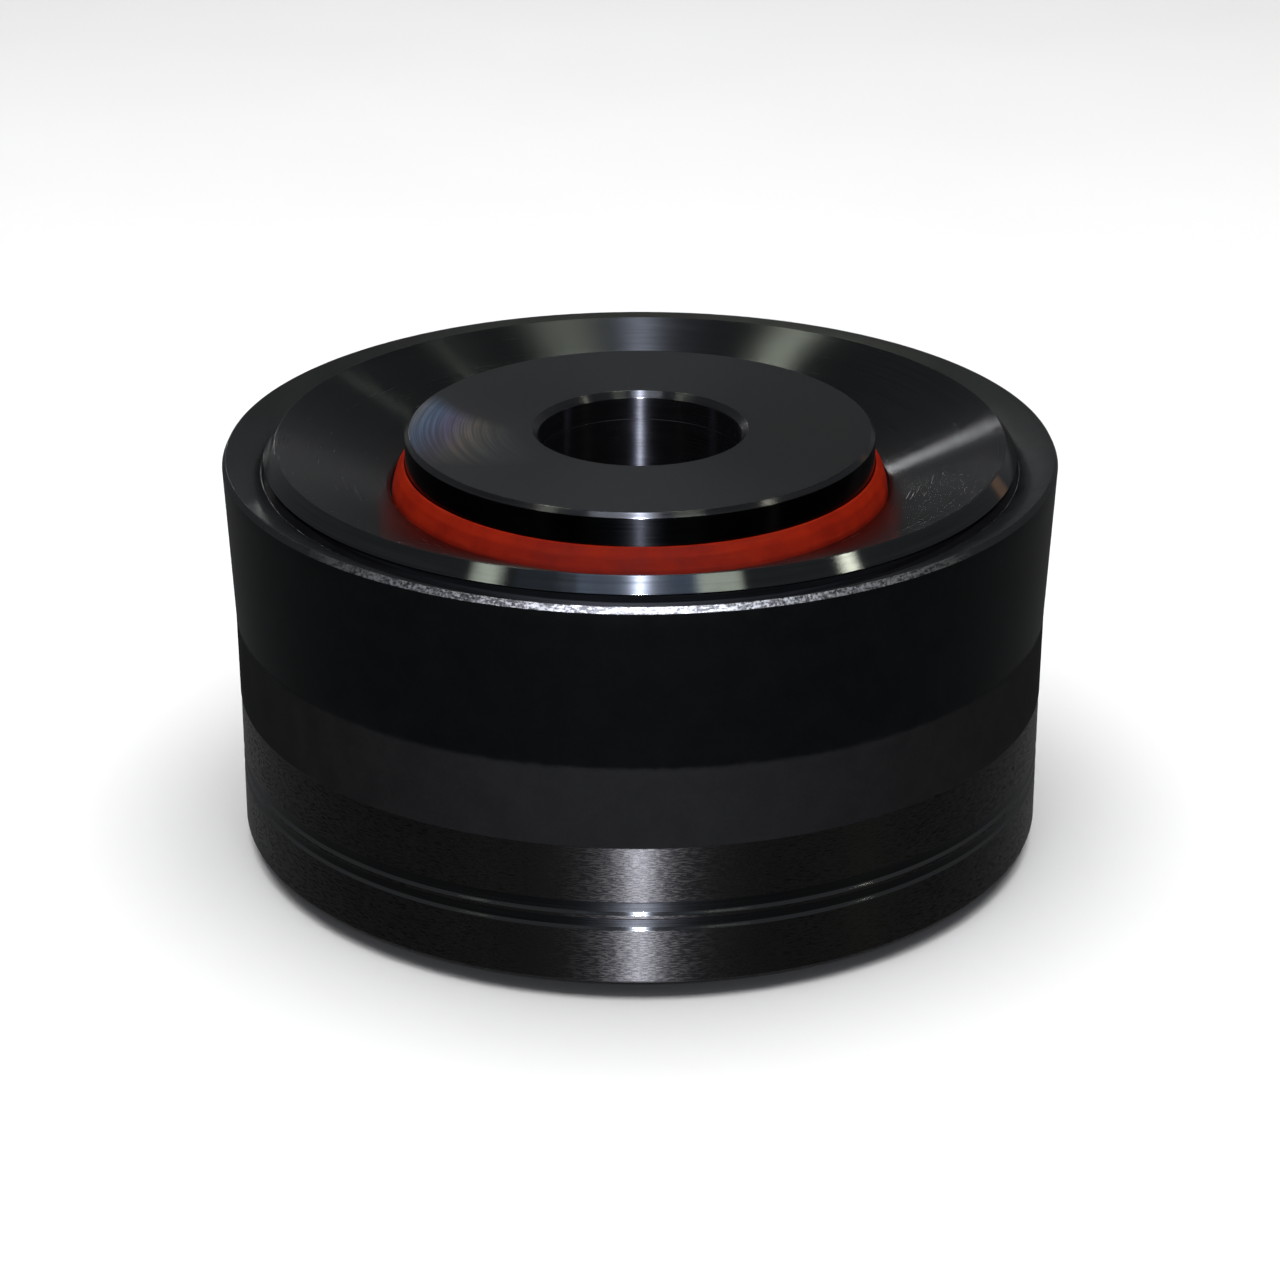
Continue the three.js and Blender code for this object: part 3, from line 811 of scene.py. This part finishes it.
lamp("softbox", 0, 88, 3.2, 3.4, 3.4, 162, fill=True)
lamp("flash", 0, 27, 2.1, 0.06, 0.06, 210, "#ecefff")
lamp("front_sky", 0, 53, 2.6, 1.3, 0.5, 2.2, "#a9bede")
lamp("front_sky_edge", -31, 53, 2.6, 0.8, 0.5, 0.32, "#a9bede")
lamp("overhead_front", -12, 66, 2.6, 1.0, 0.5, 5.0, "#eef1f6")
lamp("front_right_lamp", 29, 52, 2.6, 0.45, 0.5, 2.9, "#f2f6dc")
lamp("front_left_lamp", -54, 47, 2.6, 0.3, 0.4, 2.0, "#f2f6dc")
lamp("right_lamp", 72, 41, 2.6, 0.14, 0.35, 3.5, "#f6f3d8")
lamp("brown_right", 133, 12, 2.6, 0.25, 0.4, 0.3, "#b9875c")
lamp("back_left_window", -162.6, 20, 3.0, 0.08, 0.15, 2.2)
lamp("overhead_right", 161, 69, 2.8, 0.3, 0.3, 2.8, "#f2f6dc")
lamp("overhead_left", -150, 63, 2.8, 0.22, 0.22, 5.0, "#f2f6dc")
lamp("high_left", 149, 57, 2.8, 0.06, 0.06, 0.3, "#f2f6dc")
lamp("low_left", 150, 42, 2.8, 0.06, 0.06, 0.3, "#f2f6dc")

world = bpy.context.scene.world or bpy.data.worlds.new("studio")
bpy.context.scene.world = world
world.use_nodes = True
world.node_tree.nodes["Background"].inputs["Color"].default_value = linear("#f4f6f8")
world.node_tree.nodes["Background"].inputs["Strength"].default_value = 0.14

floor_mesh = bpy.data.meshes.new("floor")
floor_corners = [(x * FLOOR_REACH, y * FLOOR_REACH, 0) for x, y in ((-1, -1), (1, -1), (1, 1), (-1, 1))]
floor_mesh.from_pydata(floor_corners, [], [(0, 1, 2, 3)])
floor = bpy.data.objects.new("floor", floor_mesh)
floor.location.z = cad_low.z - FLOOR_GAP
floor.visible_glossy = False
bpy.context.scene.collection.objects.link(floor)
floor_look = Look("floor_board", specular_ior_level=0.2)
tone = floor_look.grain(3.0, 3.0, 0.55)
floor_look.use(colour=floor_look.colours(tone, linear("#f3f3f2"), linear("#f8f8f8")))
floor_look.use(rough=floor_look.spread(tone, 0.3, 0.7, 0.7, 0.8))
floor_mesh.materials.append(floor_look.material)

camera_data = bpy.data.cameras.new("camera")
camera_data.lens = 105.5
camera_data.sensor_width = 36
camera = bpy.data.objects.new("camera", camera_data)
camera.location = FOCUS + direction(0, CAMERA_ELEVATION) * CAMERA_DISTANCE
facing(camera, FOCUS)
bpy.context.scene.collection.objects.link(camera)
bpy.context.scene.camera = camera
bpy.context.scene.view_settings.view_transform = "Standard"
